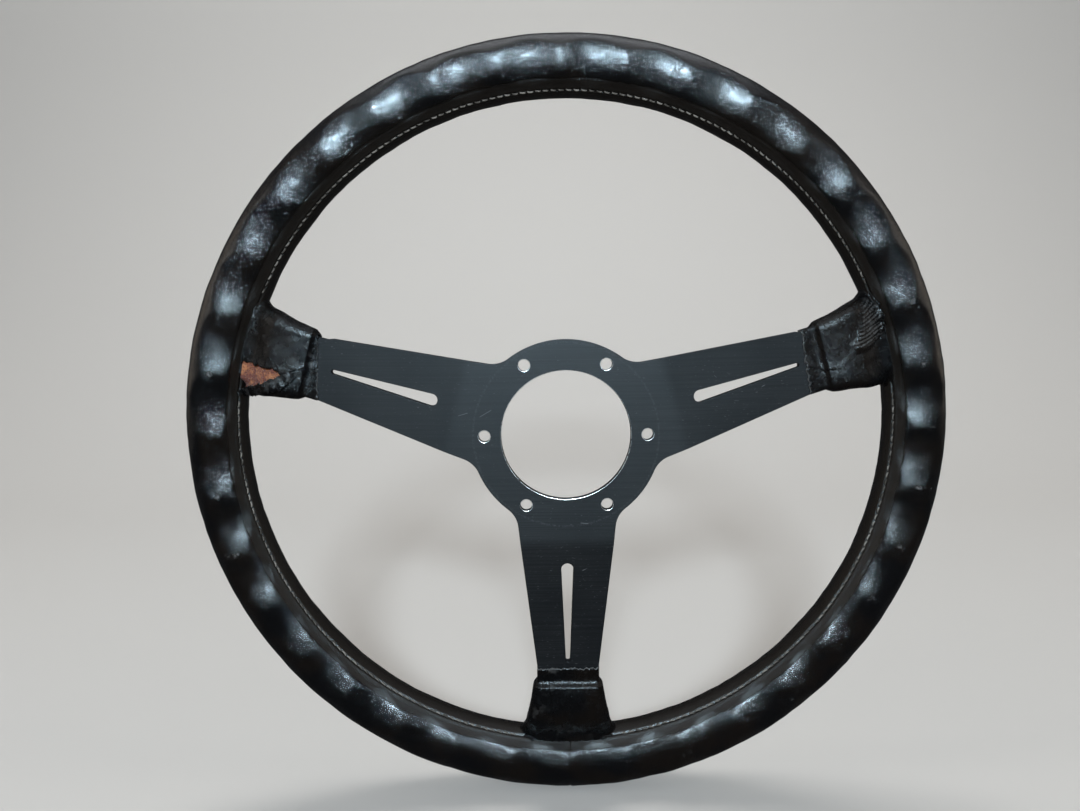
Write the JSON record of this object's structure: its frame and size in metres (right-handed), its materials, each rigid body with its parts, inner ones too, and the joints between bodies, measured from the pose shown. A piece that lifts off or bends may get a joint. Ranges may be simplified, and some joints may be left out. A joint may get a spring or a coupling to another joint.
{
  "type": "steering wheel",
  "caption": "Three-spoke steering wheel, leather-wrapped rim with finger grips, dished slotted metal spider, open centre with a bolt circle for a hub boss.",
  "frame": {"origin": "centre of the bolt circle, on the column-side face of the spider plate", "axes": "+Y along the wheel's own axis from the column side to the driver's side, +Z towards twelve o'clock, +X to the right as seen from the column side"},
  "size_m": [0.3648, 0.0418, 0.3648],
  "materials": {
    "anodised_plate": "black anodised, finely brushed",
    "core_steel": "plain mill finish",
    "rivet_steel": "zinc plated",
    "red_foam": "moulded foam, matt, red-brown",
    "black_leather": "worn, semi-gloss",
    "grey_thread": "waxed thread"
  },
  "bodies": {
    "root": {"boot_leather_bottom_left": "black_leather", "boot_leather_bottom_right": "black_leather", "boot_leather_left_lower": "black_leather", "boot_leather_left_upper": "black_leather", "boot_leather_right_lower": "black_leather", "boot_leather_right_upper": "black_leather", "boot_pad_bottom": "red_foam", "boot_pad_left": "red_foam", "boot_pad_right": "red_foam", "rim_core_ring": "core_steel", "rim_foam": "red_foam", "rim_leather": "black_leather", "rivet_bottom_1": "rivet_steel", "rivet_bottom_2": "rivet_steel", "rivet_left_1": "rivet_steel", "rivet_left_2": "rivet_steel", "rivet_right_1": "rivet_steel", "rivet_right_2": "rivet_steel", "seam_thread_left": "grey_thread", "seam_thread_right": "grey_thread", "seam_thread_top": "grey_thread", "spider_plate": "anodised_plate"}
  },
  "joints": []
}
